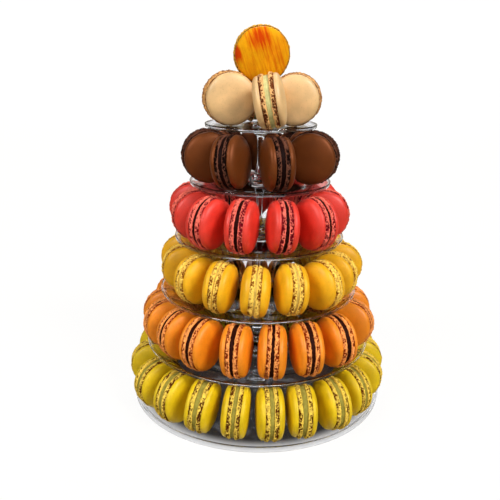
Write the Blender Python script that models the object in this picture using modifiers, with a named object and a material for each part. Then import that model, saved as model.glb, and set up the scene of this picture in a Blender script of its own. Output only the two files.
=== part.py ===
"""Macaron tower on a six-tier clear plastic stand.

Round trays of shrinking size are stacked on thin flared columns. Macarons stand on edge round every
tray like the spokes of a wheel, one colour to a tray, and a last one rests on top of the highest ring.
"""

import math
import random

import bpy
from mathutils import Matrix, Vector

MM = 0.001
SEED = 12

# Stand, in millimetres
TIER_PITCH = 55.0
BASE_RADIUS = 131.5
TRAY_STEP = 15.4
TRAY_COUNT = 6
TRAY_SIDES = 24
RIM_TOP = 6.0
PLATE_TOP = 3.2
UNDERSIDE = 0.8
RIM_WIDTH = 1.8
RIM_SLOPE = 3.2
RIM_DRAFT = 0.9
COLLAR_RADIUS = 8.0
COLLAR_DROP = 4.0
NECK_RADIUS = 3.0
NECK_FROM = 12.0
NECK_TO = 36.0
FOOT_RADIUS = 11.5
FOOT_HEIGHT = 2.5
CONTACT_GAP = 0.3

# Macaron section, as fractions of its radius and of half its thickness
CAP_RADIUS, CAP_HEIGHT = 0.62, 0.93
SHOULDER_RADIUS, SHOULDER_HEIGHT = 1.0, 0.40
GROOVE_RADIUS, GROOVE_HEIGHT = 0.94, 0.13
SHELL_SIDES = 12
BACK_SIDES = 10
SIZE_SPREAD = 0.5
OVAL_SPREAD = 0.012

# The ring on each tray: what stands in front, each as (azimuth, distance of its centre from the axis,
# turn from radial, lean), and the ring's back, as (first azimuth, step, count), with the turn of each
# where they aren't radial. Angles are in degrees. Azimuth 0 faces -Y and grows towards +X. A lean above
# 0 takes the top towards the larger azimuth.
RINGS = (
    dict(
        name="green", tray=0, width=50.4, thick=25.2, out=111.0,
        front=((-82, 110, 0, 0), (-59, 113, 7, 0), (-42.5, 113, 8, 0), (-26.2, 112.5, 11, 6),
               (-9.5, 110.5, 5, 4), (6.7, 112.5, -1, 2), (21.8, 113.5, -14, 1), (38.3, 115.5, -17, -1),
               (54.8, 113, -18, 0), (73, 110, 0, 0)),
        back=(92.0, 13.6, 13), joined=True, color=(0.62, 0.53, 0.02),
    ),
    dict(
        name="orange", tray=1, width=51.0, thick=26.3, out=96.0,
        front=((-87, 95, 0, 0), (-69, 95.5, 0, 0), (-50.5, 95, 0, 0), (-32.2, 96.5, 2, 0),
               (-11, 97, 0, -1), (8.5, 97, -10, 2), (27.4, 99.8, -15, 0), (47.3, 102, -20, -2),
               (73.5, 97, -6, 3)),
        back=(97.0, 16.8, 10), joined=True, color=(0.90, 0.28, 0.02),
    ),
    dict(
        name="yellow", tray=2, width=48.4, thick=26.3, out=82.0,
        front=((-77, 76, 0, 0), (-48, 79, 6, 0), (-25, 82, 9, 5), (-1.5, 83.6, 0, 5),
               (21.7, 82.5, -8, 6), (44, 85.5, 0, 0), (66, 81.5, 0, 0), (89, 82.5, 0, 0)),
        back=(116.5, 20.0, 8), joined=True, color=(0.90, 0.50, 0.02),
    ),
    dict(
        name="red", tray=3, width=50.6, thick=26.5, out=68.0,
        front=((-71, 65, 0, 0), (-41.3, 70, 8, 2), (-13.2, 67, 0, 2), (18.5, 67.2, -9, 4),
               (46.5, 72, -15, 1), (82, 65.5, 0, 0)),
        back=(118.0, 36.0, 5), back_turns=(0, 0, 78, 0, 0), joined=False, color=(0.80, 0.03, 0.015),
    ),
    dict(
        name="brown", tray=4, width=51.1, thick=27.4, out=50.5,
        front=((-78, 51, 0, 0), (-30.8, 52, 9, -5), (18, 49.6, -4, -2), (77, 50.5, 0, 0)),
        back=(127.0, 52.0, 3), back_turns=(0, 78, 0), joined=False, color=(0.20, 0.055, 0.012),
    ),
)
CREAM_COLOR = (0.82, 0.60, 0.30)
AMBER_COLOR = (0.80, 0.33, 0.01)
# The top tray's four, as (azimuth, distance out, width, thickness, turn from radial, lean)
CREAM = (
    (-79.0, 29.8, 50.6, 26.4, 0.0, 0.0),
    (11.5, 39.0, 50.6, 28.2, -14.0, -11.0),
    (86.0, 31.6, 49.6, 25.6, 0.0, 0.0),
    (190.0, 37.0, 50.4, 26.4, 0.0, 0.0),
)
# The one on top faces the front. It is propped between two of those, a little to the left and just
# behind their middles, where it nestles lower than edge on edge.
TOP_WIDTH = 53.0
TOP_THICK = 26.0
TOP_TURN = 95.0
TOP_TIP = 3.0
TOP_SHIFT = -2.7
TOP_SETBACK = 1.0
TOP_NESTLE = 2.1

STAND_COLOR = (0.86, 0.87, 0.90)
PLASTIC_ROUGHNESS = 0.08
PLASTIC_TRANSMISSION = 0.9
SHELL_ROUGHNESS = 0.45
SMOOTH_ANGLE = math.radians(34)

rng = random.Random(SEED)


def clear_scene():
    for obj in list(bpy.data.objects):
        bpy.data.objects.remove(obj, do_unlink=True)


def collection_named(name):
    made = bpy.data.collections.new(name)
    bpy.context.scene.collection.children.link(made)
    return made


def principled(name, color, roughness, transmission=0.0):
    mat = bpy.data.materials.new(name)
    mat.use_nodes = True
    shader = mat.node_tree.nodes["Principled BSDF"]
    shader.inputs["Base Color"].default_value = (*color, 1.0)
    shader.inputs["Roughness"].default_value = roughness
    shader.inputs["Metallic"].default_value = 0.0
    shader.inputs["Transmission Weight"].default_value = transmission
    mat.diffuse_color = (*color, 1.0)
    return mat


def turned(name, outline, sides, collection, mat):
    """A solid of revolution about its own Z from an outline of (radius, height) in mm, top to bottom."""
    mesh = bpy.data.meshes.new(name)
    points = [(radius * MM, 0.0, height * MM) for radius, height in outline]
    mesh.from_pydata(points, [(i, i + 1) for i in range(len(points) - 1)], [])
    obj = bpy.data.objects.new(name, mesh)
    collection.objects.link(obj)
    screw = obj.modifiers.new("turn", "SCREW")
    screw.steps = sides
    screw.render_steps = sides
    screw.use_merge_vertices = True
    screw.merge_threshold = 0.00005
    screw.use_smooth_shade = True
    mesh.materials.append(mat)
    return obj


def tray_radius(tier):
    return BASE_RADIUS - TRAY_STEP * tier


def plate_height(tier):
    return TIER_PITCH * tier + PLATE_TOP


def tray_outline(tier):
    """The tray's section; above the base it carries the column that stands on the tray below."""
    edge = tray_radius(tier)
    floor = UNDERSIDE if tier else 0.0
    outline = [
        (0.0, PLATE_TOP),
        (edge - RIM_WIDTH - RIM_SLOPE, PLATE_TOP),
        (edge - RIM_WIDTH, RIM_TOP),
        (edge, RIM_TOP),
        (edge - RIM_DRAFT, floor),
    ]
    if tier:
        foot = PLATE_TOP - TIER_PITCH + CONTACT_GAP
        outline += [
            (COLLAR_RADIUS, UNDERSIDE),
            (COLLAR_RADIUS, UNDERSIDE - COLLAR_DROP),
            (NECK_RADIUS, UNDERSIDE - NECK_FROM),
            (NECK_RADIUS, UNDERSIDE - NECK_TO),
            (FOOT_RADIUS, foot + FOOT_HEIGHT),
            (FOOT_RADIUS, foot),
        ]
        floor = foot
    return outline + [(0.0, floor)]


def macaron_outline(width, thick):
    """Two domed shells with their feet, and the filling set back in the groove between them."""
    radius = width / 2
    half = thick / 2
    side = (
        (0.0, 1.0),
        (CAP_RADIUS, CAP_HEIGHT),
        (SHOULDER_RADIUS, SHOULDER_HEIGHT),
        (GROOVE_RADIUS, GROOVE_HEIGHT),
    )
    upper = [(r * radius, h * half) for r, h in side]
    return upper + [(r, -h) for r, h in reversed(upper)]


def standing(azimuth, turn=0.0, lean=0.0):
    """Turns a macaron's own axis from Z to the tangent of its ring, so that it stands on edge."""
    angle = math.radians(azimuth + turn)
    outward = Vector((math.sin(angle), -math.cos(angle), 0.0))
    sideways = Vector((math.cos(angle), math.sin(angle), 0.0))
    upward = Vector((0.0, 0.0, 1.0))
    tilt = math.radians(lean)
    up = math.cos(tilt) * upward + math.sin(tilt) * sideways
    axis = math.cos(tilt) * sideways - math.sin(tilt) * upward
    return Matrix((outward, -up, axis)).transposed().to_4x4()


def place_macaron(name, tier, azimuth, out, width, thick, sides, collection, mat, turn=0.0, lean=0.0):
    """One macaron on a tray, a corner of its rim lowest and just clear of the plate."""
    width += rng.uniform(-SIZE_SPREAD, SIZE_SPREAD)
    oval = 1.0 - rng.uniform(0.0, OVAL_SPREAD)
    obj = turned(name, macaron_outline(width, thick), sides, collection, mat)
    tilt = abs(math.radians(lean))
    reach = width / 2 * math.cos(tilt) + thick / 2 * SHOULDER_HEIGHT * math.sin(tilt)
    angle = math.radians(azimuth)
    centre = Vector((
        out * math.sin(angle),
        -out * math.cos(angle),
        plate_height(tier) + CONTACT_GAP + reach,
    ))
    obj.matrix_world = (
        Matrix.Translation(centre * MM)
        @ standing(azimuth, turn, lean)
        @ Matrix.Diagonal((oval, 1.0, 1.0, 1.0))
        @ Matrix.Rotation(math.pi / 2, 4, "Z")
    )
    return obj


def joined_by_union(name, pieces, collection, mat):
    """Neighbours that lean on each other become one solid through a Boolean union."""
    first = pieces[0]
    rest = collection_named(name + "_rest")
    for piece in pieces[1:]:
        collection.objects.unlink(piece)
        rest.objects.link(piece)
    union = first.modifiers.new("join", "BOOLEAN")
    union.operation = "UNION"
    union.operand_type = "COLLECTION"
    union.collection = rest
    union.solver = "EXACT"
    bpy.context.view_layer.update()
    graph = bpy.context.evaluated_depsgraph_get()
    mesh = bpy.data.meshes.new_from_object(first.evaluated_get(graph))
    obj = bpy.data.objects.new(name, mesh)
    collection.objects.link(obj)
    obj.matrix_world = first.matrix_world.copy()
    mesh.materials.clear()
    mesh.materials.append(mat)
    for piece in pieces:
        bpy.data.objects.remove(piece, do_unlink=True)
    bpy.data.collections.remove(rest)
    mesh.shade_smooth()
    mesh.set_sharp_from_angle(angle=SMOOTH_ANGLE)
    return obj


def build_stand(collection):
    mat = principled("clear_plastic", STAND_COLOR, PLASTIC_ROUGHNESS, PLASTIC_TRANSMISSION)
    for tier in range(TRAY_COUNT):
        tray = turned(f"stand_tray_{tier + 1}", tray_outline(tier), TRAY_SIDES, collection, mat)
        tray.location.z = TIER_PITCH * tier * MM


def build_ring(ring, collection):
    name = ring["name"]
    mat = principled(f"{name}_shell", ring["color"], SHELL_ROUGHNESS)
    size = (ring["width"], ring["thick"])
    for i, (azimuth, out, turn, lean) in enumerate(ring["front"], 1):
        place_macaron(f"macaron_{name}_{i:02d}", ring["tray"], azimuth, out, *size, SHELL_SIDES,
                      collection, mat, turn, lean)
    start, step, count = ring["back"]
    sides = BACK_SIDES if ring["joined"] else SHELL_SIDES
    turns = ring.get("back_turns", (0,) * count)
    back = []
    for i in range(count):
        number = len(ring["front"]) + 1 + i
        back.append(place_macaron(f"macaron_{name}_{number:02d}", ring["tray"], start + step * i,
                                  ring["out"], *size, sides, collection, mat, turns[i]))
    if ring["joined"]:
        joined_by_union(f"macaron_{name}_back", back, collection, mat)


def build_top(collection):
    tier = TRAY_COUNT - 1
    cream = principled("cream_shell", CREAM_COLOR, SHELL_ROUGHNESS)
    for i, (azimuth, out, width, thick, turn, lean) in enumerate(CREAM, 1):
        place_macaron(f"macaron_cream_{i:02d}", tier, azimuth, out, width, thick, SHELL_SIDES,
                      collection, cream, turn, lean)
    amber = principled("amber_shell", AMBER_COLOR, SHELL_ROUGHNESS)
    top = turned("macaron_amber_top", macaron_outline(TOP_WIDTH, TOP_THICK), SHELL_SIDES,
                 collection, amber)
    left, right = (CREAM[0], CREAM[2])
    props = []
    for azimuth, out, width, *_ in (left, right):
        props.append((out * math.sin(math.radians(azimuth)), width / 2 + SIZE_SPREAD))
    middle, height = resting_centre(props[0], props[1], TOP_WIDTH / 2 + CONTACT_GAP)
    height += plate_height(tier) + CONTACT_GAP - TOP_NESTLE
    centre = Vector((middle + TOP_SHIFT, TOP_SETBACK, height))
    top.matrix_world = (
        Matrix.Translation(centre * MM)
        @ Matrix.Rotation(math.radians(TOP_TIP), 4, "X")
        @ standing(TOP_TURN)
    )


def resting_centre(left, right, radius):
    """Where a disc settles on two standing discs: its (x, height above their lowest points)."""
    (x1, r1), (x2, r2) = left, right
    a, b = radius + r1, radius + r2
    span = math.hypot(x2 - x1, r2 - r1)
    along = (a * a - b * b + span * span) / (2 * span)
    rise = math.sqrt(a * a - along * along)
    ux, uz = (x2 - x1) / span, (r2 - r1) / span
    return x1 + ux * along - uz * rise, r1 + uz * along + ux * rise


def main():
    clear_scene()
    tower = collection_named("macaron_tower")
    build_stand(tower)
    for ring in RINGS:
        build_ring(ring, tower)
    build_top(tower)


main()
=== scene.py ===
"""Dresses a packed macaron tower: baked shells with ruffled feet, soft fillings and a clear stand.

Everything is in metres about the tower's own base. Sizes that a baker or a moulder would quote are
written in millimetres and multiplied by MM.
"""

import math
import random

import bpy
import numpy as np
from bpy.props import FloatProperty, FloatVectorProperty, IntProperty, PointerProperty
from mathutils import Matrix, Vector, noise


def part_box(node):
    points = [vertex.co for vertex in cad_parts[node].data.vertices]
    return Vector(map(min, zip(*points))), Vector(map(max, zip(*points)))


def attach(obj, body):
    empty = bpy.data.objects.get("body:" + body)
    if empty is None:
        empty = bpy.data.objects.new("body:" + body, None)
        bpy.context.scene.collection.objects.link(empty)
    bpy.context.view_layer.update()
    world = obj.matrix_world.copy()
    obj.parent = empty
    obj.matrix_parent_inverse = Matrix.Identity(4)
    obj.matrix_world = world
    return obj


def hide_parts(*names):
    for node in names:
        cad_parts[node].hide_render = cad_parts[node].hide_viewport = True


bl_info = {
    "name": "Macaron Tower",
    "version": (1, 0, 0),
    "blender": (4, 5, 0),
    "location": "View3D > Sidebar > Macaron Tower",
    "description": "Bakes, fills and stacks a six-tier macaron tower on its clear stand",
    "category": "Add Mesh",
}

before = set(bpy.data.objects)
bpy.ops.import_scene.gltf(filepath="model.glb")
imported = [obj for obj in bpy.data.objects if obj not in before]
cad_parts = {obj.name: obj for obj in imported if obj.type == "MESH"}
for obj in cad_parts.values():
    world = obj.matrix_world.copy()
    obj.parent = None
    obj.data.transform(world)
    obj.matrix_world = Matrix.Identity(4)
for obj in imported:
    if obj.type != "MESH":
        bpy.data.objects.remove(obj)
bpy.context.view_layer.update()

MM = 0.001

# Layout, in millimetres and degrees. Azimuth 0 faces -Y and grows towards +X.
SEED = 12
TIER_PITCH = 55.0
PLATE_TOP = 3.2
RIM_TOP = 6.0
UNDERSIDE = 0.8
CONTACT_GAP = 0.3
SHOULDER_HEIGHT = 0.40
SIZE_SPREAD = 0.5
OVAL_SPREAD = 0.012

# The ring on each tray. Its front lists each macaron as (azimuth, distance of its centre from the
# axis, turn from radial, lean), and its back is (first azimuth, step, count), with the turn of each
# where they aren't all radial. A joined back is one node of the frame.
RINGS = {
    "green": dict(
        tray=0, width=50.4, thick=25.2, out=111.0, back=(92.0, 13.6, 13), joined=True,
        front=((-82, 110, 0, 0), (-59, 113, 7, 0), (-42.5, 113, 8, 0), (-26.2, 112.5, 11, 6),
               (-9.5, 110.5, 5, 4), (6.7, 112.5, -1, 2), (21.8, 113.5, -14, 1),
               (38.3, 115.5, -17, -1), (54.8, 113, -18, 0), (73, 110, 0, 0)),
    ),
    "orange": dict(
        tray=1, width=51.0, thick=26.3, out=96.0, back=(97.0, 16.8, 10), joined=True,
        front=((-87, 95, 0, 0), (-69, 95.5, 0, 0), (-50.5, 95, 0, 0), (-32.2, 96.5, 2, 0),
               (-11, 97, 0, -1), (8.5, 97, -10, 2), (27.4, 99.8, -15, 0), (47.3, 102, -20, -2),
               (73.5, 97, -6, 3)),
    ),
    "yellow": dict(
        tray=2, width=48.4, thick=26.3, out=82.0, back=(116.5, 20.0, 8), joined=True,
        front=((-77, 76, 0, 0), (-48, 79, 6, 0), (-25, 82, 9, 5), (-1.5, 83.6, 0, 5),
               (21.7, 82.5, -8, 6), (44, 85.5, 0, 0), (66, 81.5, 0, 0), (89, 82.5, 0, 0)),
    ),
    "red": dict(
        tray=3, width=50.6, thick=26.5, out=68.0, back=(118.0, 36.0, 5),
        back_turns=(0, 0, 78, 0, 0), joined=False,
        front=((-71, 65, 0, 0), (-41.3, 70, 8, 2), (-13.2, 67, 0, 2), (18.5, 67.2, -9, 4),
               (46.5, 72, -15, 1), (82, 65.5, 0, 0)),
    ),
    "brown": dict(
        tray=4, width=51.1, thick=27.4, out=50.5, back=(127.0, 52.0, 3), back_turns=(0, 78, 0),
        joined=False,
        front=((-78, 51, 0, 0), (-30.8, 52, 9, -5), (18, 49.6, -4, -2), (77, 50.5, 0, 0)),
    ),
}
TOP_TRAY = 5
# The top tray's four, as (azimuth, distance out, width, thickness, turn from radial, lean)
CREAM = (
    (-79.0, 29.8, 50.6, 26.4, 0.0, 0.0),
    (11.5, 39.0, 50.6, 28.2, -14.0, -11.0),
    (86.0, 31.6, 49.6, 25.6, 0.0, 0.0),
    (190.0, 37.0, 50.4, 26.4, 0.0, 0.0),
)
# The last one faces the front, propped between the first and third of those. It is shifted a little
# to the left, set back behind their middles and nestled down between them.
TOP_WIDTH = 53.0
TOP_THICK = 26.0
TOP_TURN = 95.0
TOP_TIP = 3.0
TOP_SHIFT = -2.7
TOP_SETBACK = 1.0
TOP_NESTLE = 2.1

# Shells that sit well off their partners, as {(flavour, number): (side of its own axis, out, up)}.
# The foot on that side is drawn darker with painted shade.
OFF_CENTRE = {
    ("cream", 1): (-1, 1.8, 0.3), ("cream", 3): (1, 1.3, 1.0),
    ("brown", 1): (-1, 1.6, 1.3), ("brown", 4): (1, 1.9, 0.8),
}
# How strongly a shell shines, and how far its shine takes the shell's own hue
GLOSS = {
    "green": (0.65, 0.3), "orange": (0.8, 0.35), "yellow": (0.65, 0.35), "red": (1.0, 0.35),
    "brown": (1.0, 0.85), "cream": (1.0, 0.2), "amber": (0.15, 0.9),
}
# How much more open than the rest a flavour's crumb is
OPENNESS = {"cream": 1.2, "brown": 1.3, "red": 1.1}
# Where the amber shell is dabbed thicker, each as (right, up, width, height, strength), and the
# slant of all its brush strokes
BRUSH_DABS = (
    (-4.0, 14.0, 16.0, 16.0, 0.32),
    (-22.5, 1.0, 6.5, 13.0, 0.42),
    (11.0, 2.0, 16.0, 32.0, 0.15),
)
BRUSH_SLANT = -18.0

# Sections, in millimetres: how deep a foot's ring is, how much of that its outer face takes, how
# round its rim is, how far it stays under the skin, how far a filling crowns out and beds in, and
# how far above its base a tray's skirt ends
FOOT_DEPTH = 4.2
FOOT_FACE = 3.0
RIM_ROUND = 0.5
FOOT_UNDER_SKIN = 0.1
FILLING_CROWN = 0.55
FILLING_BED = 1.0
SKIRT_END = 2.6

# Baking, in millimetres. DRIFT moves each macaron's noise, so that no two are alike. A LENGTH is
# that of the waves that swell a shell, ruffle its foot or skin, squeeze its filling or its pores.
DRIFT = 400
APART = (-0.45, 0.35)
SWELL, SWELL_LENGTH = 0.45, 15
WANDER_LENGTH, FINE_LENGTH = 2.2, 1.1
EDGE, EDGE_LENGTH = 0.35, 2.6
SQUEEZE, SQUEEZE_LENGTH = 0.5, 9
FOLD, FOLD_LENGTH = 0.15, 2.5
BEND, BEND_LENGTH = 0.45, 1.6
CROWD_LENGTH = 7
# Shares: how far up its half the skin's edge still ruffles, how soft a pore's wall is, and how much
# painted shade darkens the foot of a shell that sits off its partner, where it shows in shadow
EDGE_SHARE = 0.62
PORE_WALL = 0.18
OFF_FOOT_SHADE = 0.3

# How finely a shape is turned, and the angle in degrees past which an edge of a tray looks sharp
DOME_STEPS = 80
DOME_ROWS = 10
FOOT_STEPS = 260
FOOT_ROWS = 10
FILLING_STEPS = 96
FILLING_ROWS = 7
TRAY_STEPS = 192
TRAY_CREASE = 28.0
WELD = 0.00001

# The studio, in metres, and its lamps in degrees, as {setting: (azimuth, height, spread)}
FLOOR_SIZE = 6.0
FLOOR_DROP = 0.0004
BACKDROP_HEIGHT = 3.0
BACKDROP_BEND = 1.2
LAMPS = {
    "key": (50.0, 40.0, 24.0), "side": (-54.0, 38.0, 28.0),
    "fill": (0.0, 22.0, 34.0), "back": (175.0, 45.0, 34.0),
}
# The floor's glow, and the share of it that the camera sees. Under the tower it has a painted
# shadow:
# between the first and second radius of the tower's footprint, in millimetres, the glow that clear
# pieces see rises from the first level to the second, and the paint from the painted shadow's tone
# to its own.
FLOOR_GLOW = 1.18
GLOW_SEEN = 0.8
FOOTPRINT = (110.0, 133.0)
FOOTPRINT_GLOW = (0.02, 0.74)
FOOTPRINT_PAINTED_SHADOW = (0.15, 0.11, 0.08)
# What clear pieces show of the room, from its dim sides to its bright front and back, by how far a
# ray heads along Y
ROOM_HEADING = (0.62, 0.92)
ROOM_LEVEL = (0.14, 0.95)
# The camera's lens and film in millimetres, its place in metres and its turns in radians
LENS = 45.42
FILM = 36.0
CAMERA_PLACE = (0.0, -0.6208, 0.3482)
CAMERA_SWING = 0.0143
CAMERA_DIP = 0.3073
CAMERA_ROLL = 0.0139

WHITE = (1.0, 1.0, 1.0)


def linear(code):
    """An sRGB hex colour as linear RGB."""
    parts = [int(code[i : i + 2], 16) / 255 for i in (1, 3, 5)]
    return tuple(c / 12.92 if c <= 0.04045 else ((c + 0.055) / 1.055) ** 2.4 for c in parts)


def colour(name, code):
    """A colour that the sidebar shows, from its sRGB hex code."""
    return FloatVectorProperty(
        name=name, description=f"{name} colour", default=linear(code), subtype="COLOR",
        size=3, min=0.0, max=1.0,
    )


def length(name, description, millimetres):
    """A length that the sidebar shows."""
    return FloatProperty(
        name=name, description=description, default=millimetres * MM, min=0.0, precision=5,
        subtype="DISTANCE", unit="LENGTH",
    )


class MacaronSizes(bpy.types.PropertyGroup):
    """Sizes that every macaron shares."""

    foot_height: length("Foot height", "How far the ruffled foot stands below the skin", 4.5)
    foot_lip: length("Foot lip", "How far the foot stands out past the dome", 1.1)
    filling_inset: length("Filling inset", "How far the filling is set back from the edge", 1.5)
    pore_depth: length("Pore depth", "Depth of the pores in the feet", 1.5)
    ruffle: length("Ruffle", "How far the feet wander in and out", 0.65)
    pore_length: length("Pore length", "Size of a pore along the edge", 1.5)
    pore_width: length("Pore width", "Size of a pore across the foot", 1.2)
    slip: length("Slip", "How far a shell may sit off centre", 0.4)
    green_gap: length("Green filling", "Gap that the green filling shows in", 4.4)
    orange_gap: length("Orange filling", "Gap that the orange filling shows in", 4.4)
    yellow_gap: length("Yellow filling", "Gap that the yellow filling shows in", 2.0)
    red_gap: length("Red filling", "Gap that the red filling shows in", 3.2)
    brown_gap: length("Brown filling", "Gap that the brown filling shows in", 4.0)
    cream_gap: length("Cream filling", "Gap that the cream filling shows in", 5.0)
    amber_gap: length("Amber filling", "Gap that the amber filling shows in", 3.4)
    lean: FloatProperty(
        name="Shell lean", description="How far a shell may lean from its partner",
        default=math.radians(1.2), subtype="ANGLE", unit="ROTATION",
    )
    fullness: FloatProperty(
        name="Dome fullness", description="2 is an ellipse, and more squares its shoulders",
        default=2.75, min=1.5, max=4.0,
    )
    plumpness: FloatProperty(
        name="Plumpness", description="Thickness of a baked macaron next to its plain solid",
        default=1.05, min=0.9, max=1.1,
    )


class MacaronColours(bpy.types.PropertyGroup):
    """Shell, foot, pore and filling colours of each flavour."""

    green_shell: colour("Green shell", "#D6B406")
    green_foot: colour("Green foot", "#CFAE44")
    green_pore: colour("Green pore", "#5A2A08")
    green_filling: colour("Green filling", "#8E8438")
    orange_shell: colour("Orange shell", "#E4840E")
    orange_foot: colour("Orange foot", "#E08C4A")
    orange_pore: colour("Orange pore", "#7E2404")
    orange_filling: colour("Orange filling", "#280C05")
    yellow_shell: colour("Yellow shell", "#E4A80E")
    yellow_foot: colour("Yellow foot", "#E4B850")
    yellow_pore: colour("Yellow pore", "#84420A")
    yellow_filling: colour("Yellow filling", "#CCAE58")
    red_shell: colour("Red shell", "#DC3222")
    red_foot: colour("Red foot", "#DE6656")
    red_pore: colour("Red pore", "#74081A")
    red_filling: colour("Red filling", "#240706")
    brown_shell: colour("Brown shell", "#5A2C0C")
    brown_foot: colour("Brown foot", "#5C382A")
    brown_pore: colour("Brown pore", "#140704")
    brown_filling: colour("Brown filling", "#180705")
    cream_shell: colour("Cream shell", "#E0B67C")
    cream_foot: colour("Cream foot", "#D8A468")
    cream_pore: colour("Cream pore", "#70361A")
    cream_filling: colour("Cream filling", "#C4BC7E")
    amber_shell: colour("Amber shell", "#E8A010")
    amber_foot: colour("Amber foot", "#C8963A")
    amber_pore: colour("Amber pore", "#5A3A12")
    amber_filling: colour("Amber filling", "#50340F")
    amber_brush: colour("Amber brush stroke", "#C62A04")


class StandSizes(bpy.types.PropertyGroup):
    """Sizes and finish of the moulded stand."""

    rim_width: length("Rim width", "Width of a tray's raised rim", 1.8)
    rim_slope: length("Rim slope", "Width of the slope from the rim down to the plate", 3.2)
    wall: length("Wall", "Thickness of a moulded tray", 0.9)
    neck_radius: length("Neck radius", "Radius of a column at its neck", 3.0)
    collar_radius: length("Collar radius", "Radius of the collar under a tray", 8.0)
    column_foot: length("Column foot", "Radius of a column's foot", 11.5)
    tint: colour("Plastic", "#F4F5F8")
    roughness: FloatProperty(
        name="Roughness", description="Roughness of the polished plastic", default=0.03,
        min=0.0, max=1.0,
    )


class StageSettings(bpy.types.PropertyGroup):
    """Floor, light and camera."""

    ambient: FloatProperty(
        name="Ambient", description="Strength of the light from all round", default=0.05, min=0.0,
    )
    key: FloatProperty(name="Key", description="Strength of the light from the right", default=3.05)
    side: FloatProperty(name="Side", description="Strength of the light from the left", default=2.1)
    fill: FloatProperty(name="Fill", description="Strength of the low light in front", default=0.5)
    back: FloatProperty(name="Back", description="Strength of the light from behind", default=1.6)
    floor: colour("Floor", "#A09A8C")
    backdrop: IntProperty(
        name="Backdrop segments", description="Faces round the bend of the backdrop", default=24,
        min=2,
    )


def add(tree, kind, inputs=None, ramp=None, **settings):
    """Adds a node, makes its settings, and sets each input by name or index, or links it."""
    made = tree.nodes.new(kind)
    for name, value in settings.items():
        setattr(made, name, value)
    for name, value in (inputs or {}).items():
        if isinstance(value, bpy.types.NodeSocket):
            tree.links.new(value, made.inputs[name])
        else:
            made.inputs[name].default_value = value
    for i, (place, shade) in enumerate(ramp or ()):
        stops = made.color_ramp.elements
        stop = stops[i] if i < len(stops) else stops.new(place)
        stop.position = place
        stop.color = (*shade, 1.0)
    return made


def new_material(name, shade):
    """An empty material, its node tree and its output's surface socket."""
    material = bpy.data.materials.new(name)
    material.use_nodes = True
    material.diffuse_color = (*shade, 1.0)
    tree = material.node_tree
    tree.nodes.clear()
    output = tree.nodes.new("ShaderNodeOutputMaterial")
    return material, tree, output.inputs["Surface"]


def mixed(first, second, share):
    """A colour between two, share of the way to the second."""
    return tuple(a + (b - a) * share for a, b in zip(first, second))


def toned(shade, amount):
    """A colour made lighter or darker by a factor, its hue kept."""
    return tuple(min(part * amount, 1.0) for part in shade)


def shades(colours, flavour):
    """The shell, foot, pore and filling colours of a flavour."""
    return [tuple(getattr(colours, f"{flavour}_{part}"))
            for part in ("shell", "foot", "pore", "filling")]


def baked_shell(flavour, shell, brush=None):
    """Almond meringue baked to a thin even skin.

    It reads as satin with a broad soft shine, a slow mottle and a faint grain of ground almond. The
    real grain, of about 0.4 mm, is too fine to show, so it is drawn at 1.1 mm.
    """
    material, tree, surface = new_material(f"baked_almond_shell_{flavour}", shell)
    where = add(tree, "ShaderNodeTexCoord").outputs["Object"]
    mottle = add(tree, "ShaderNodeTexNoise",
                 {"Vector": where, "Scale": 1 / (13 * MM), "Detail": 3.0})
    grain = add(tree, "ShaderNodeTexNoise",
                {"Vector": where, "Scale": 1 / (1.1 * MM), "Detail": 2.0})
    tone = add(tree, "ShaderNodeValToRGB", {"Fac": mottle.outputs["Fac"]},
               ramp=((0.30, toned(shell, 0.86)), (0.70, toned(shell, 1.10))))
    speck = add(tree, "ShaderNodeValToRGB", {"Fac": grain.outputs["Fac"]},
                ramp=((0.26, (0.80, 0.78, 0.74)), (0.40, WHITE)))
    skin = add(tree, "ShaderNodeMix",
               {0: 1.0, 6: tone.outputs["Color"], 7: speck.outputs["Color"]},
               data_type="RGBA", blend_type="MULTIPLY")
    skin_colour = skin.outputs[2]
    if brush is not None:
        skin_colour = brush_strokes(tree, where, skin_colour, brush)
    pits = add(tree, "ShaderNodeBump",
               {"Height": grain.outputs["Fac"], "Strength": 0.35, "Distance": 0.12 * MM})
    waves = add(tree, "ShaderNodeBump",
                {"Height": mottle.outputs["Fac"], "Strength": 0.5, "Distance": 0.5 * MM,
                 "Normal": pits.outputs["Normal"]})
    shine = add(tree, "ShaderNodeMapRange",
                {"Value": mottle.outputs["Fac"], "From Min": 0.3, "From Max": 0.7,
                 "To Min": 0.44, "To Max": 0.54})
    gloss, hue = GLOSS[flavour]
    tint = mixed(WHITE, toned(shell, 1 / max(shell)), hue)
    shader = add(tree, "ShaderNodeBsdfPrincipled",
                 {"Base Color": skin_colour, "Roughness": shine.outputs["Result"],
                  "Normal": waves.outputs["Normal"], "IOR": 1.45,
                  "Specular IOR Level": gloss, "Specular Tint": (*tint, 1.0),
                  "Subsurface Weight": 0.08, "Subsurface Radius": (2 * MM, 1.2 * MM, 0.6 * MM),
                  "Subsurface Scale": 1.0})
    tree.links.new(shader.outputs["BSDF"], surface)
    return material


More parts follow.
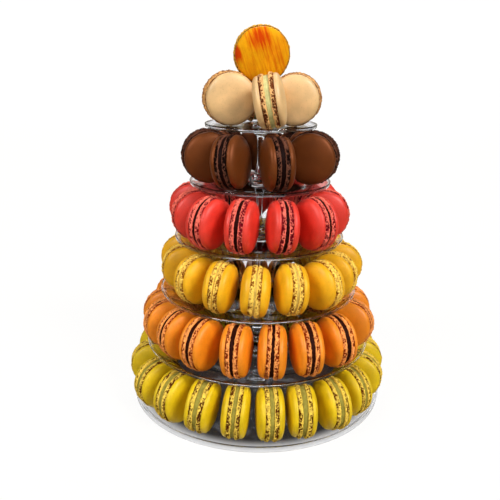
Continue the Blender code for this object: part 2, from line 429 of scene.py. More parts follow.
def brush_strokes(tree, where, skin, brush):
    """Colour brushed on in dry strokes that run down to the right, thicker where it is dabbed.

    A bristle's own mark is too fine to show, so the marks are drawn 2.6 mm wide.
    """
    slant = (0.0, math.radians(BRUSH_SLANT), 0.0)
    along = add(tree, "ShaderNodeMapping",
                {"Vector": where, "Rotation": slant, "Scale": (2.6 * MM, 1.0, 30 * MM)},
                vector_type="TEXTURE")
    bristles = add(tree, "ShaderNodeTexNoise",
                   {"Vector": along.outputs["Vector"], "Scale": 1.0, "Detail": 4.0,
                    "Roughness": 0.62, "Distortion": 0.25})
    spread = bristles.outputs["Fac"]
    low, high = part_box("macaron_amber_top")
    middle = (low + high) / 2
    for right, up, wide, tall, strength in BRUSH_DABS:
        place = (middle.x + right * MM, 0.0, middle.z + up * MM)
        dab = add(tree, "ShaderNodeMapping",
                  {"Vector": where, "Location": place, "Rotation": slant,
                   "Scale": (wide * MM, 1.0, tall * MM)}, vector_type="TEXTURE")
        round_off = add(tree, "ShaderNodeVectorMath", {0: dab.outputs["Vector"]},
                        operation="LENGTH")
        fade = add(tree, "ShaderNodeMapRange",
                   {"Value": round_off.outputs["Value"], "From Min": 0.1, "From Max": 1.0,
                    "To Min": strength, "To Max": 0.0}, interpolation_type="SMOOTHSTEP")
        spread = add(tree, "ShaderNodeMath", {0: spread, 1: fade.outputs["Result"]},
                     operation="ADD").outputs[0]
    amount = add(tree, "ShaderNodeMapRange",
                 {"Value": spread, "From Min": 0.48, "From Max": 0.84,
                  "To Min": 0.0, "To Max": 0.92})
    painted = add(tree, "ShaderNodeMix",
                  {0: amount.outputs["Result"], 6: skin, 7: (*brush, 1.0)}, data_type="RGBA")
    return painted.outputs[2]


def ruffled_foot(flavour, foot, pore):
    """The foot that the batter pushes out in the oven: dry crumb, open pores and a pale rim.

    The crumb's finest bubbles, of about 0.3 mm, wouldn't show, so they are drawn at 0.9 mm. Its
    tone also carries painted shade deep in the pores and on the foot of a shell set off its
    partner, and a painted highlight on the ruffle's tips.
    """
    material, tree, surface = new_material(f"ruffled_foot_{flavour}", foot)
    where = add(tree, "ShaderNodeTexCoord").outputs["Object"]
    crumb = add(tree, "ShaderNodeAttribute", attribute_name="crumb")
    fine = add(tree, "ShaderNodeTexNoise",
               {"Vector": where, "Scale": 1 / (0.9 * MM), "Detail": 3.0})
    broken = add(tree, "ShaderNodeMath", {0: fine.outputs["Fac"], 1: -0.5}, operation="ADD")
    depth = add(tree, "ShaderNodeMath", {0: broken.outputs[0], 1: 0.55, 2: crumb.outputs["Fac"]},
                operation="MULTIPLY_ADD")
    # The tone runs from the ruffle's pale tips, a painted highlight, through the foot's own colour
    # to the pores' dark, partly the crumb's colour and partly painted shade
    tone = add(tree, "ShaderNodeValToRGB", {"Fac": depth.outputs[0]},
               ramp=((0.12, toned(foot, 1.40)), (0.30, foot), (0.48, mixed(foot, pore, 0.5)),
                     (0.72, pore)))
    holes = add(tree, "ShaderNodeTexVoronoi", {"Vector": where, "Scale": 1 / (0.9 * MM)})
    bump = add(tree, "ShaderNodeBump",
               {"Height": holes.outputs["Distance"], "Strength": 0.6, "Distance": 0.4 * MM})
    dry = add(tree, "ShaderNodeMapRange",
              {"Value": fine.outputs["Fac"], "To Min": 0.65, "To Max": 0.9})
    shader = add(tree, "ShaderNodeBsdfPrincipled",
                 {"Base Color": tone.outputs["Color"], "Roughness": dry.outputs["Result"],
                  "Normal": bump.outputs["Normal"], "IOR": 1.4, "Specular IOR Level": 0.06})
    tree.links.new(shader.outputs["BSDF"], surface)
    return material


def piped_filling(flavour, filling):
    """Filling piped and pressed flat: smooth, hardly glossy, with fine lines round its edge."""
    material, tree, surface = new_material(f"piped_filling_{flavour}", filling)
    where = add(tree, "ShaderNodeTexCoord").outputs["Object"]
    layer = add(tree, "ShaderNodeAttribute", attribute_name="layer")
    lines = add(tree, "ShaderNodeTexNoise",
                {"W": layer.outputs["Fac"], "Scale": 2.2, "Detail": 2.0}, noise_dimensions="1D")
    clouds = add(tree, "ShaderNodeTexNoise",
                 {"Vector": where, "Scale": 1 / (4 * MM), "Detail": 2.0})
    both = add(tree, "ShaderNodeMix", {0: 0.5, 2: lines.outputs["Fac"], 3: clouds.outputs["Fac"]})
    tone = add(tree, "ShaderNodeValToRGB", {"Fac": both.outputs[0]},
               ramp=((0.35, toned(filling, 0.70)), (0.65, toned(filling, 1.25))))
    bump = add(tree, "ShaderNodeBump",
               {"Height": both.outputs[0], "Strength": 0.5, "Distance": 0.4 * MM})
    shine = add(tree, "ShaderNodeMapRange",
                {"Value": clouds.outputs["Fac"], "To Min": 0.45, "To Max": 0.65})
    shader = add(tree, "ShaderNodeBsdfPrincipled",
                 {"Base Color": tone.outputs["Color"], "Roughness": shine.outputs["Result"],
                  "Normal": bump.outputs["Normal"], "IOR": 1.46, "Specular IOR Level": 0.05})
    tree.links.new(shader.outputs["BSDF"], surface)
    return material


def moulded_plastic(tint, roughness):
    """Clear polystyrene, injection moulded and polished.

    It is sharp and bright at its edges, with the faint waviness of moulding and light wiping marks.
    Lamps reach through it, less what a real clear tray throws back at each of its faces.
    """
    material, tree, surface = new_material("clear_moulded_plastic", tint)
    where = add(tree, "ShaderNodeTexCoord").outputs["Object"]
    flow = add(tree, "ShaderNodeTexNoise", {"Vector": where, "Scale": 1 / (22 * MM), "Detail": 1.0})
    wiped = add(tree, "ShaderNodeTexNoise", {"Vector": where, "Scale": 1 / (6 * MM), "Detail": 3.0})
    bump = add(tree, "ShaderNodeBump",
               {"Height": flow.outputs["Fac"], "Strength": 0.25, "Distance": 0.4 * MM})
    haze = add(tree, "ShaderNodeMapRange",
               {"Value": wiped.outputs["Fac"], "From Min": 0.35, "From Max": 0.75,
                "To Min": roughness * 0.6, "To Max": roughness * 2.0})
    body = add(tree, "ShaderNodeBsdfPrincipled",
               {"Base Color": (*tint, 1.0), "Roughness": haze.outputs["Result"],
                "Normal": bump.outputs["Normal"], "IOR": 1.25, "Specular IOR Level": 1.0,
                "Transmission Weight": 1.0})
    through = add(tree, "ShaderNodeBsdfTransparent", {"Color": (*toned(tint, 0.55), 1.0)})
    ray = add(tree, "ShaderNodeLightPath")
    either = add(tree, "ShaderNodeMixShader",
                 {0: ray.outputs["Is Shadow Ray"], 1: body.outputs["BSDF"], 2: through.outputs[0]})
    tree.links.new(either.outputs[0], surface)
    return material


def turned(name, outline, steps, material):
    """A shape turned about Z: a point extruded along the outline, and that line spun all round."""
    bpy.ops.object.select_all(action="DESELECT")
    (radius, height), *rest = outline
    bpy.ops.mesh.primitive_plane_add(size=MM, location=(radius, 0.0, height))
    made = bpy.context.active_object
    made.name = made.data.name = name
    bpy.ops.object.mode_set(mode="EDIT")
    bpy.ops.mesh.select_all(action="SELECT")
    bpy.ops.mesh.merge(type="CENTER")
    for next_radius, next_height in rest:
        step = (next_radius - radius, 0.0, next_height - height)
        bpy.ops.mesh.extrude_vertices_move(TRANSFORM_OT_translate={"value": step})
        radius, height = next_radius, next_height
    bpy.ops.mesh.select_all(action="SELECT")
    bpy.ops.mesh.spin(steps=steps, angle=math.tau, center=(0.0, 0.0, 0.0), axis=(0.0, 0.0, 1.0))
    bpy.ops.mesh.select_all(action="SELECT")
    bpy.ops.mesh.remove_doubles(threshold=WELD)
    bpy.ops.mesh.normals_make_consistent(inside=False)
    bpy.ops.object.mode_set(mode="OBJECT")
    bpy.ops.object.transform_apply(location=True, rotation=False, scale=False)
    bpy.ops.object.shade_smooth()
    made.data.materials.append(material)
    return made


def dome_outline(radius, half, foot_top, fullness):
    """Half a shell's section, from its crown to the skin's edge, which curls in over the foot."""
    rise = half - foot_top
    outline = []
    for i in range(DOME_ROWS + 1):
        angle = math.pi / 2 * (1 - i / DOME_ROWS)
        outline.append((radius * max(math.cos(angle), 0.0) ** (2 / fullness) if i else 0.0,
                        foot_top + rise * math.sin(angle) ** (2 / fullness)))
    return outline + [
        (radius - 0.35 * MM, foot_top - 0.45 * MM),
        (radius - 1.60 * MM, foot_top - 0.35 * MM),
        (0.0, foot_top - 0.35 * MM),
    ]


def foot_outline(radius, foot_base, foot_top, lip):
    """The foot's section, a closed ring: tucked in under the skin and swelling to a rounded rim."""
    outline = []
    for i in range(FOOT_ROWS + 1):
        share = i / FOOT_ROWS
        tuck = lip * max(share - 0.35, 0.0) ** 1.5 * 1.9
        round_over = RIM_ROUND * MM * max(1 - share / 0.12, 0.0)
        outline.append((radius - tuck - round_over, foot_base + (foot_top - foot_base) * share))
    inner = radius - FOOT_DEPTH * MM
    return outline + [(inner, foot_top), (inner, foot_base), outline[0]]


def filling_outline(radius, half):
    """The filling's section, pressed out to a low crown between the shells."""
    outline = [(0.0, half)]
    for i in range(FILLING_ROWS + 1):
        across = 1 - 2 * i / FILLING_ROWS
        outline.append((radius - FILLING_CROWN * MM * across**4, half * across))
    return outline + [(0.0, -half)]


def only(*objects):
    """Selects these objects alone, and makes the first one active."""
    bpy.ops.object.select_all(action="DESELECT")
    for obj in objects:
        obj.select_set(True)
    bpy.context.view_layer.objects.active = objects[0]


def macaron_master(flavour, width, thick, sizes, colours):
    """One flavour's two turned shells with their feet, and its filling, centred and upright."""
    radius, half = width / 2 * MM, thick / 2 * MM * sizes.plumpness
    foot_base = getattr(sizes, f"{flavour}_gap") / 2
    foot_top = foot_base + sizes.foot_height
    under_skin = foot_top - FOOT_UNDER_SKIN * MM
    shell, foot, pore, filling = shades(colours, flavour)
    brush = tuple(colours.amber_brush) if flavour == "amber" else None
    dome = turned(f"{flavour}_shells",
                  dome_outline(radius - sizes.foot_lip, half, foot_top, sizes.fullness),
                  DOME_STEPS, baked_shell(flavour, shell, brush))
    ruffle = turned(f"{flavour}_foot",
                    foot_outline(radius, foot_base, under_skin, sizes.foot_lip),
                    FOOT_STEPS, ruffled_foot(flavour, foot, pore))
    only(dome, ruffle)
    bpy.ops.object.join()
    mirror = dome.modifiers.new("partner", "MIRROR")
    mirror.use_axis = (False, False, True)
    mirror.use_mirror_merge = False
    bpy.ops.object.modifier_apply(modifier=mirror.name)
    cream = turned(f"{flavour}_filling",
                   filling_outline(radius - sizes.filling_inset, foot_base + FILLING_BED * MM),
                   FILLING_STEPS, piped_filling(flavour, filling))
    return dome, cream


def points_of(mesh):
    """A mesh's points in millimetres."""
    points = np.empty(len(mesh.vertices) * 3)
    mesh.vertices.foreach_get("co", points)
    return points.reshape(-1, 3) / MM


def foot_places(mesh, radius, foot_base, foot_height):
    """How far each point lies across its foot, 0 at the rim and 1 at the skin, or -1 off it."""
    points = points_of(mesh)
    across = (np.abs(points[:, 2]) - foot_base / MM) / (foot_height / MM)
    on_foot = np.zeros(len(points), bool)
    corners = np.array([face.vertices[:] for face in mesh.polygons if face.material_index == 1])
    on_foot[np.unique(corners)] = True
    on_foot &= np.hypot(points[:, 0], points[:, 1]) > radius / MM - FOOT_FACE
    return np.where(on_foot, np.clip(across, 0.0, 1.0), -1.0)


def rising(value, start, width):
    """How far a value is past the start, as a share of the width, from 0 to 1."""
    return min(max((value - start) / width, 0.0), 1.0)


def pore_depth(place, share, long, short, openness):
    """How open the crumb is at a place on the foot, 0 where it is closed and 1 deep in a pore.

    Pores differ in size, crowd under the skin, and in some stretches reach across to the rim.
    """
    bend = noise.noise_vector(place / BEND_LENGTH) * BEND
    near, centres = noise.voronoi(Vector((place.x / long, place.y / long, place.z / short)) + bend)
    own = 0.5 + 0.5 * noise.cell(centres[0] * 7.3)
    crowding = 0.9 * noise.noise(place / CROWD_LENGTH)
    skin_side = rising(share, 0.45, 0.20) * (1.25 + crowding)
    rim_side = rising(share, 0.04, 0.18) * (0.95 + crowding)
    crowd = min(max(skin_side, rim_side, 0.0), 1.4)
    size = openness * (0.34 + 0.26 * own) * crowd
    return rising(size, near[0], PORE_WALL)


def baked(points, across, radius, sizes, chance, off_centre, openness):
    """One macaron's points, moved as baking moves them, and the tone of its foot at each one: the
    crumb's own, painted shade in pores and a painted highlight on tips.
    """
    drift = Vector([chance.uniform(-DRIFT, DRIFT) for _ in range(3)])
    leans = {side: [chance.uniform(-1, 1) for _ in range(4)] for side in (-1, 1)}
    apart = chance.uniform(*APART)
    lean, slip = sizes.lean, sizes.slip / MM
    off_side, off_out, off_up = off_centre
    for side, slips in leans.items():
        slips[2] = slip * slips[2] - (off_up if side == off_side else 0.0)
        slips[3] = slip * slips[3] - (off_out if side == off_side else 0.0)
    long, short = sizes.pore_length / MM, sizes.pore_width / MM
    depth, ruffle = sizes.pore_depth / MM, sizes.ruffle / MM
    edge_top = abs(points[:, 2]).max() * EDGE_SHARE
    moved, crumb = points.copy(), np.zeros(len(points))
    for i, (x, y, z) in enumerate(points):
        side = 1 if z > 0 else -1
        out = math.hypot(x, y)
        cos, sin = (x / out, y / out) if out > 1e-6 else (1.0, 0.0)
        swell = SWELL * noise.noise(Vector((x, y, z * 1.5)) / SWELL_LENGTH + drift)
        share = across[i]
        if share >= 0:
            ring = Vector((cos * radius, sin * radius, z)) + drift
            pore = pore_depth(ring, share, long, short, openness)
            wander = noise.noise(ring / WANDER_LENGTH)
            fine = noise.noise(ring / FINE_LENGTH)
            swell += ruffle * (wander + 0.5 * fine) - depth * pore
            z += side * (0.9 * wander + 0.4 * fine) * (1 - share) ** 2
            # The foot's tone: darker towards the skin, darker deep in each pore, partly the crumb's
            # own colour and partly painted shade, and lighter where the ruffle stands out, a
            # painted highlight
            crumb[i] = 0.16 + 0.22 * share + 0.95 * pore - 0.3 * wander * (1 - pore)
            # Painted shade on the foot of a shell set off its partner, which shows in shadow
            if side == off_side:
                crumb[i] += OFF_FOOT_SHADE
        elif out > radius - FOOT_FACE and abs(z) < edge_top:
            edge = Vector((cos, sin, side)) * radius / EDGE_LENGTH
            swell += EDGE * noise.noise(edge + drift)
        tilt_x, tilt_y, slip_x, slip_y = leans[side]
        moved[i] = (
            x + cos * swell + slip_x,
            y + sin * swell + slip_y,
            z + lean * (tilt_x * x + tilt_y * y) + side * (apart + 0.2 * swell * (share < 0)),
        )
    return moved, crumb


def pressed(points, radius, chance):
    """One filling's points, squeezed out a little unevenly, and each one's height in it."""
    drift = Vector([chance.uniform(-DRIFT, DRIFT) for _ in range(3)])
    moved = points.copy()
    for i, (x, y, z) in enumerate(points):
        out = math.hypot(x, y)
        if out > radius / 2:
            squeeze = SQUEEZE * noise.noise(Vector((x, y, 0)) / SQUEEZE_LENGTH + drift)
            fold = FOLD * noise.noise(Vector((x, y, 3 * z)) / FOLD_LENGTH + drift)
            bulge = 1 + (squeeze + fold) / out
            moved[i] = (x * bulge, y * bulge, z)
    return moved, points[:, 2] + drift.x


def copied(master, name, points, matrix, attribute, values):
    """A copy of a master with its own mesh, its points put in place and one value kept for each."""
    made = master.copy()
    made.data = master.data.copy()
    made.name = made.data.name = name
    bpy.context.collection.objects.link(made)
    turn = np.array(matrix.to_3x3())
    placed = points * MM @ turn.T + np.array(matrix.translation)
    made.data.vertices.foreach_set("co", placed.ravel())
    made.data.attributes.new(attribute, "FLOAT", "POINT").data.foreach_set("value", values)
    made.data.update()
    return made


def standing(azimuth, turn=0.0, lean=0.0):
    """Turns a macaron's own axis from Z to the tangent of its ring, so that it stands on edge."""
    angle = math.radians(azimuth + turn)
    outward = Vector((math.sin(angle), -math.cos(angle), 0.0))
    sideways = Vector((math.cos(angle), math.sin(angle), 0.0))
    upward = Vector((0.0, 0.0, 1.0))
    tilt = math.radians(lean)
    up = math.cos(tilt) * upward + math.sin(tilt) * sideways
    axis = math.cos(tilt) * sideways - math.sin(tilt) * upward
    return Matrix((outward, -up, axis)).transposed().to_4x4()


def tray_place(tray, azimuth, out, width, thick, turn, lean, rng):
    """A macaron's width and its place on a tray, drawn in the order that the solids were."""
    width += rng.uniform(-SIZE_SPREAD, SIZE_SPREAD)
    oval = 1.0 - rng.uniform(0.0, OVAL_SPREAD)
    tilt = abs(math.radians(lean))
    reach = width / 2 * math.cos(tilt) + thick / 2 * SHOULDER_HEIGHT * math.sin(tilt)
    angle = math.radians(azimuth)
    centre = Vector((out * math.sin(angle), -out * math.cos(angle),
                     TIER_PITCH * tray + PLATE_TOP + CONTACT_GAP + reach))
    matrix = (Matrix.Translation(centre * MM) @ standing(azimuth, turn, lean)
              @ Matrix.Diagonal((oval, 1.0, 1.0, 1.0)) @ Matrix.Rotation(math.pi / 2, 4, "Z"))
    return width, matrix


def resting_centre(left, right, radius):
    """Where a disc settles on two standing discs: its (x, height above their lowest points)."""
    (x1, r1), (x2, r2) = left, right
    a, b = radius + r1, radius + r2
    span = math.hypot(x2 - x1, r2 - r1)
    along = (a * a - b * b + span * span) / (2 * span)
    rise = math.sqrt(a * a - along * along)
    ux, uz = (x2 - x1) / span, (r2 - r1) / span
    return x1 + ux * along - uz * rise, r1 + uz * along + ux * rise


def top_place():
    """Where the last macaron rests, between two of the cream ones."""
    props = [(out * math.sin(math.radians(azimuth)), width / 2 + SIZE_SPREAD)
             for azimuth, out, width, *_ in (CREAM[0], CREAM[2])]
    middle, height = resting_centre(*props, TOP_WIDTH / 2 + CONTACT_GAP)
    height += TIER_PITCH * TOP_TRAY + PLATE_TOP - TOP_NESTLE
    centre = Vector((middle + TOP_SHIFT, TOP_SETBACK, height))
    return (Matrix.Translation(centre * MM) @ Matrix.Rotation(math.radians(TOP_TIP), 4, "X")
            @ standing(TOP_TURN))


def tower_places():
    """Each flavour's macarons as (node, width, thickness, tray, matrix), in the frame's order."""
    rng = random.Random(SEED)
    places = {}
    for flavour, ring in RINGS.items():
        start, step, count = ring["back"]
        turns = ring.get("back_turns", (0,) * count)
        back = [(start + step * i, ring["out"], turns[i], 0.0) for i in range(count)]
        found = []
        for i, (azimuth, out, turn, lean) in enumerate((*ring["front"], *back), 1):
            width, matrix = tray_place(ring["tray"], azimuth, out, ring["width"], ring["thick"],
                                       turn, lean, rng)
            joined = ring["joined"] and i > len(ring["front"])
            node = f"macaron_{flavour}_back" if joined else f"macaron_{flavour}_{i:02d}"
            found.append((node, width, ring["thick"], ring["tray"], matrix))
        places[flavour] = found
    places["cream"] = []
    for i, (azimuth, out, width, thick, turn, lean) in enumerate(CREAM, 1):
        width, matrix = tray_place(TOP_TRAY, azimuth, out, width, thick, turn, lean, rng)
        places["cream"].append((f"macaron_cream_{i:02d}", width, thick, TOP_TRAY, matrix))
    places["amber"] = [("macaron_amber_top", TOP_WIDTH, TOP_THICK, None, top_place())]
    return places


def settled(matrix, points, tray):
    """The place lowered or raised until the macaron's lowest point rests on its tray."""
    turn = np.array(matrix.to_3x3())
    lowest = (points * MM @ turn.T)[:, 2].min() + matrix.translation.z
    drop = (TIER_PITCH * tray + PLATE_TOP) * MM - lowest
    return Matrix.Translation((0.0, 0.0, drop)) @ matrix


def build_macarons(context, flavour):
    """Bakes one master of a flavour and copies it to every place of its ring."""
    sizes, colours = context.scene.macaron_sizes, context.scene.macaron_colours
    places = tower_places()[flavour]
    chance = random.Random(f"{flavour} {SEED}")
    # Blender seeds its noise vectors by the clock, so the pores would differ with each run
    noise.seed_set(SEED)
    _, first_width, thick, *_ = places[0]
    width = RINGS[flavour]["width"] if flavour in RINGS else first_width
    shells, cream = macaron_master(flavour, width, thick, sizes, colours)
    shell_points, cream_points = points_of(shells.data), points_of(cream.data)
    foot_base = getattr(sizes, f"{flavour}_gap") / 2
    across = foot_places(shells.data, width / 2 * MM, foot_base, sizes.foot_height)
    for number, (node, own_width, own_thick, tray, matrix) in enumerate(places, 1):
        scale = np.array((own_width / width, own_width / width, own_thick / thick))
        points, crumb = baked(shell_points * scale, across, own_width / 2, sizes, chance,
                              OFF_CENTRE.get((flavour, number), (0, 0.0, 0.0)),
                              OPENNESS.get(flavour, 1.0))
        if tray is not None:
            matrix = settled(matrix, points, tray)
        name = f"{flavour}_{number:02d}"
        pair = copied(shells, f"{name}_shells", points, matrix, "crumb", crumb)
        points, layer = pressed(cream_points * scale, own_width / 2, chance)
        middle = copied(cream, f"{name}_filling", points, matrix, "layer", layer)
        for piece in (pair, middle):
            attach(piece, "root")
            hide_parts(node)
    for master in (shells, cream):
        bpy.data.objects.remove(master)


def tray_outline(edge, tray, stand):
    """A tray's section about the tower's axis, with the column that stands on the tray below.

    The tray is a thin moulded sheet whose rim turns up, over and down into a skirt. The base stands
    on its skirt.
    """
    base = tray * TIER_PITCH
    wall = stand.wall / MM
    rim, slope = stand.rim_width / MM, stand.rim_slope / MM
    neck, collar, foot = stand.neck_radius / MM, stand.collar_radius / MM, stand.column_foot / MM
    under = PLATE_TOP - wall
    skirt = SKIRT_END if tray else 0.0
    outline = [
        # The boss that the column above is seated on
        (0.0, 4.4), (6.0, 4.4), (7.2, 4.0), (7.6, PLATE_TOP),
        # The plate, with a fine raised ring on it
        (edge - 22.0, PLATE_TOP), (edge - 21.6, PLATE_TOP + 0.3), (edge - 20.6, PLATE_TOP + 0.3),
        (edge - 20.2, PLATE_TOP),
        # The slope and the rim
        (edge - rim - slope, PLATE_TOP), (edge - rim - 0.3, RIM_TOP - 0.6),
        (edge - rim + 0.2, RIM_TOP - 0.15), (edge - rim / 2, RIM_TOP),
        (edge - 0.2, RIM_TOP - 0.2), (edge, RIM_TOP - 0.7),
        # The skirt, and back in under the rim
        (edge - 0.9 + 0.15 * skirt, skirt), (edge - 0.9 + 0.15 * skirt - 0.6 * wall, skirt),
        (edge - 0.3 - wall, RIM_TOP - 0.8 - wall / 2), (edge - rim, RIM_TOP - 0.4 - wall),
        (edge - rim - slope + 0.3, under),
    ]
    if not tray:
        return [(r * MM, z * MM) for r, z in (*outline, (0.0, under))]
    ground = PLATE_TOP - TIER_PITCH + 1.2
    outline += [
        # The collar
        (collar + 2.0, under), (collar + 0.4, under - 0.6),
        (collar, under - 1.4), (collar, UNDERSIDE - 3.6), (collar - 0.4, UNDERSIDE - 4.0),
        # The neck
        (neck + 1.2, UNDERSIDE - 7.5), (neck + 0.2, UNDERSIDE - 10.5), (neck, UNDERSIDE - 13.0),
        (neck, UNDERSIDE - 34.0), (neck + 0.4, UNDERSIDE - 38.0), (neck + 2.0, UNDERSIDE - 43.0),
        # The foot, and the seat that goes over the boss below
        (foot - 3.0, ground + 3.4), (foot - 0.4, ground + 2.5), (foot, ground + 2.1),
        (foot, ground + 0.3), (foot - 0.3, ground), (8.2, ground),
        (8.0, ground - 0.9), (0.0, ground - 0.9),
    ]
    return [(r * MM, (z + base) * MM) for r, z in outline]


class MacaronStep:
    """What the operators that bake a ring share."""

    bl_options = {"REGISTER", "UNDO"}
    flavour = ""

    def execute(self, context):
        build_macarons(context, self.flavour)
        return {"FINISHED"}


class MACARON_OT_green_ring(MacaronStep, bpy.types.Operator):
    """Bakes the green macarons of the bottom tray"""

    bl_idname = "macaron.green_ring"
    bl_label = "Green Ring"
    flavour = "green"


class MACARON_OT_orange_ring(MacaronStep, bpy.types.Operator):
    """Bakes the orange macarons of the second tray"""

    bl_idname = "macaron.orange_ring"
    bl_label = "Orange Ring"
    flavour = "orange"


class MACARON_OT_yellow_ring(MacaronStep, bpy.types.Operator):
    """Bakes the yellow macarons of the third tray"""

    bl_idname = "macaron.yellow_ring"
    bl_label = "Yellow Ring"
    flavour = "yellow"


class MACARON_OT_red_ring(MacaronStep, bpy.types.Operator):
    """Bakes the red macarons of the fourth tray"""

    bl_idname = "macaron.red_ring"
    bl_label = "Red Ring"
    flavour = "red"


class MACARON_OT_brown_ring(MacaronStep, bpy.types.Operator):
    """Bakes the chocolate macarons of the fifth tray"""

    bl_idname = "macaron.brown_ring"
    bl_label = "Brown Ring"
    flavour = "brown"


class MACARON_OT_cream_group(MacaronStep, bpy.types.Operator):
    """Bakes the cream macarons of the top tray"""

    bl_idname = "macaron.cream_group"
    bl_label = "Cream Macarons"
    flavour = "cream"


class MACARON_OT_amber_top(MacaronStep, bpy.types.Operator):
    """Bakes the brushed amber macaron that crowns the tower"""

    bl_idname = "macaron.amber_top"
    bl_label = "Amber Macaron"
    flavour = "amber"


class MACARON_OT_clear_stand(bpy.types.Operator):
    """Moulds the six clear trays and the columns between them"""

    bl_idname = "macaron.clear_stand"
    bl_label = "Clear Stand"
    bl_options = {"REGISTER", "UNDO"}

    def execute(self, context):
        stand = context.scene.macaron_stand
        plastic = moulded_plastic(tuple(stand.tint), stand.roughness)
        for tray in range(TOP_TRAY + 1):
            node = f"stand_tray_{tray + 1}"
            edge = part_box(node)[1].x / MM
            piece = turned(f"clear_tray_{tray + 1}", tray_outline(edge, tray, stand), TRAY_STEPS,
                           plastic)
            bpy.ops.object.shade_smooth_by_angle(angle=math.radians(TRAY_CREASE))
            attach(piece, "root")
            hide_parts(node)
        return {"FINISHED"}


class MACARON_OT_stage(bpy.types.Operator):
    """Sets the pale floor, the soft light and the camera"""

    bl_idname = "macaron.stage"
    bl_label = "Stage"
    bl_options = {"REGISTER", "UNDO"}

    def execute(self, context):
        stage = context.scene.macaron_stage
        build_floor(stage)
        build_light(context.scene, stage)
        build_camera(context.scene)
        return {"FINISHED"}


def build_floor(stage):
    """A floor that bends up into a backdrop behind the tower."""
    far = FLOOR_SIZE / 2 - 0.1
    rise = (0.0, 0.0, BACKDROP_HEIGHT)
    bpy.ops.object.select_all(action="DESELECT")
    bpy.ops.mesh.primitive_plane_add(size=FLOOR_SIZE, location=(0.0, 0.0, -FLOOR_DROP))
    floor = bpy.context.active_object
    floor.name = floor.data.name = "studio_floor"
    bpy.ops.object.mode_set(mode="EDIT")
    bpy.ops.mesh.select_all(action="DESELECT")
    bpy.ops.object.mode_set(mode="OBJECT")
    for edge in floor.data.edges:
        edge.select = all(floor.data.vertices[v].co.y > far for v in edge.vertices)
    bpy.ops.object.mode_set(mode="EDIT")
    bpy.ops.mesh.select_mode(type="EDGE")
    bpy.ops.mesh.extrude_region_move(TRANSFORM_OT_translate={"value": rise})
    bpy.ops.object.mode_set(mode="OBJECT")
    for edge in floor.data.edges:
        ends = [floor.data.vertices[v].co for v in edge.vertices]
        edge.select = all(end.y > far and end.z < 0.1 for end in ends)
    bpy.ops.object.mode_set(mode="EDIT")
    bpy.ops.mesh.bevel(offset=BACKDROP_BEND, segments=stage.backdrop, affect="EDGES")
    bpy.ops.object.mode_set(mode="OBJECT")
    bpy.ops.object.transform_apply(location=True, rotation=False, scale=False)
    bpy.ops.object.shade_smooth()
    floor.data.materials.append(painted_floor(tuple(stage.floor)))


def painted_floor(shade):
    """Matt white paint: even and pale, with a faint roller texture that only softens its shine.

    It is lit from below, as a light table is, so that shadows stay faint on it. Under the tower a
    painted shadow darkens its paint and dims the glow that clear pieces see, so that the clear base
    shows pale at its rim and dark between the macarons.
    """
    material, tree, surface = new_material("matt_white_paint", shade)
    where = add(tree, "ShaderNodeTexCoord").outputs["Object"]
    roller = add(tree, "ShaderNodeTexNoise",
                 {"Vector": where, "Scale": 1 / (4 * MM), "Detail": 2.0})
    matt = add(tree, "ShaderNodeMapRange",
               {"Value": roller.outputs["Fac"], "To Min": 0.75, "To Max": 0.9})
    shader = add(tree, "ShaderNodeBsdfPrincipled",
                 {"Roughness": matt.outputs["Result"], "Specular IOR Level": 0.2})
    glow = add(tree, "ShaderNodeEmission", {"Color": (*WHITE, 1.0), "Strength": FLOOR_GLOW})
    ray = add(tree, "ShaderNodeLightPath")
    flat = add(tree, "ShaderNodeVectorMath", {0: where, 1: (1.0, 1.0, 0.0)}, operation="MULTIPLY")
    reach = add(tree, "ShaderNodeVectorMath", {0: flat.outputs["Vector"]}, operation="LENGTH")
    # A painted shadow under the tower: the paint darkens there, and the glow that clear pieces see
    # dims
    (near, far), (dim, bright) = FOOTPRINT, FOOTPRINT_GLOW
    level = add(tree, "ShaderNodeMapRange",
                {"Value": reach.outputs["Value"], "From Min": near * MM, "From Max": far * MM,
                 "To Min": dim, "To Max": bright}, interpolation_type="SMOOTHSTEP")
    under = [part * share for part, share in zip(shade, FOOTPRINT_PAINTED_SHADOW)]
    paint = add(tree, "ShaderNodeMix",
                {0: level.outputs["Result"], 6: (*under, 1.0), 7: (*shade, 1.0)},
                data_type="RGBA")
    tree.links.new(paint.outputs[2], shader.inputs["Base Color"])
    through = add(tree, "ShaderNodeMath",
                  {0: ray.outputs["Is Transmission Ray"], 1: level.outputs["Result"]},
                  operation="MULTIPLY")
    seen = add(tree, "ShaderNodeMath",
               {0: ray.outputs["Is Camera Ray"], 1: GLOW_SEEN, 2: through.outputs[0]},
               operation="MULTIPLY_ADD")
    lit = add(tree, "ShaderNodeMixShader",
              {0: seen.outputs[0], 1: shader.outputs["BSDF"], 2: glow.outputs[0]})
    tree.links.new(lit.outputs[0], surface)
    return material


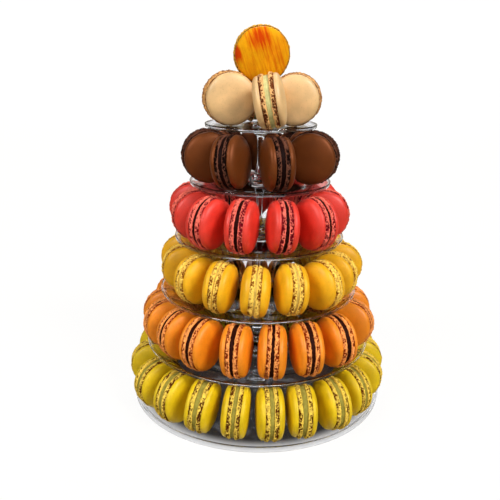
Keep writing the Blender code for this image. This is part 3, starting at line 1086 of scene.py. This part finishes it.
def build_light(scene, stage):
    """Broad suns stand in for soft boxes: strong on the right, weaker on the left, low in front.

    The room is dim, but the camera sees it white, and clear pieces show its bright front and back.
    """
    for name, (azimuth, height, spread) in LAMPS.items():
        bpy.ops.object.light_add(type="SUN", location=(0.0, 0.0, 1.0))
        lamp = bpy.context.active_object
        lamp.name = lamp.data.name = f"{name}_light"
        lamp.data.energy = getattr(stage, name)
        lamp.data.angle = math.radians(spread)
        lamp.rotation_euler = (math.radians(90 - height), 0.0, math.radians(azimuth))
    world = bpy.data.worlds.new("soft_room")
    scene.world = world
    world.use_nodes = True
    tree = world.node_tree
    tree.nodes.clear()
    ray = add(tree, "ShaderNodeLightPath")
    heading = add(tree, "ShaderNodeSeparateXYZ",
                  {"Vector": add(tree, "ShaderNodeTexCoord").outputs["Generated"]})
    ahead = add(tree, "ShaderNodeMath", {0: heading.outputs["Y"]}, operation="ABSOLUTE")
    (sideways, forwards), (dim, bright) = ROOM_HEADING, ROOM_LEVEL
    level = add(tree, "ShaderNodeMapRange",
                {"Value": ahead.outputs[0], "From Min": sideways, "From Max": forwards,
                 "To Min": dim, "To Max": bright}, interpolation_type="SMOOTHSTEP")
    through = add(tree, "ShaderNodeMath",
                  {0: ray.outputs["Is Transmission Ray"], 1: level.outputs["Result"]},
                  operation="MULTIPLY")
    seen = add(tree, "ShaderNodeMath", {0: ray.outputs["Is Camera Ray"], 1: through.outputs[0]},
               operation="MAXIMUM")
    strength = add(tree, "ShaderNodeMapRange",
                   {"Value": seen.outputs[0], "To Min": stage.ambient, "To Max": 1.0})
    sky = add(tree, "ShaderNodeBackground",
              {"Color": (*WHITE, 1.0), "Strength": strength.outputs["Result"]})
    output = add(tree, "ShaderNodeOutputWorld")
    tree.links.new(sky.outputs[0], output.inputs["Surface"])
    scene.view_settings.view_transform = "Standard"
    scene.view_settings.look = "None"


def build_camera(scene):
    """The camera, a little above the tower and looking slightly down on it."""
    bpy.ops.object.camera_add()
    camera = bpy.context.active_object
    camera.name = camera.data.name = "view_camera"
    camera.data.lens = LENS
    camera.data.sensor_width = FILM
    camera.data.clip_start = 0.01
    camera.matrix_world = (
        Matrix.Translation(CAMERA_PLACE) @ Matrix.Rotation(CAMERA_SWING, 4, "Z")
        @ Matrix.Rotation(math.pi / 2 - CAMERA_DIP, 4, "X") @ Matrix.Rotation(CAMERA_ROLL, 4, "Z")
    )
    scene.camera = camera


class MACARON_PT_sidebar(bpy.types.Panel):
    """Lists the steps that build the tower, and what they may be changed by"""

    bl_idname = "MACARON_PT_sidebar"
    bl_label = "Macaron Tower"
    bl_space_type = "VIEW_3D"
    bl_region_type = "UI"
    bl_category = "Macaron Tower"

    def draw(self, context):
        for step in STEPS:
            self.layout.operator(step.bl_idname)
        for name in SETTINGS:
            box = self.layout.box()
            group = getattr(context.scene, name)
            for prop in group.bl_rna.properties:
                if prop.identifier not in ("rna_type", "name"):
                    box.prop(group, prop.identifier)


STEPS = (
    MACARON_OT_clear_stand,
    MACARON_OT_green_ring,
    MACARON_OT_orange_ring,
    MACARON_OT_yellow_ring,
    MACARON_OT_red_ring,
    MACARON_OT_brown_ring,
    MACARON_OT_cream_group,
    MACARON_OT_amber_top,
    MACARON_OT_stage,
)
SETTINGS = {
    "macaron_sizes": MacaronSizes,
    "macaron_colours": MacaronColours,
    "macaron_stand": StandSizes,
    "macaron_stage": StageSettings,
}


def register():
    for group in (*SETTINGS.values(), *STEPS, MACARON_PT_sidebar):
        bpy.utils.register_class(group)
    for name, group in SETTINGS.items():
        setattr(bpy.types.Scene, name, PointerProperty(type=group))


def unregister():
    for name in SETTINGS:
        delattr(bpy.types.Scene, name)
    for group in reversed((*SETTINGS.values(), *STEPS, MACARON_PT_sidebar)):
        bpy.utils.unregister_class(group)


def main():
    """Takes every step in order."""
    register()
    for step in STEPS:
        area, name = step.bl_idname.split(".")
        getattr(getattr(bpy.ops, area), name)()


if __name__ == "__main__":
    main()
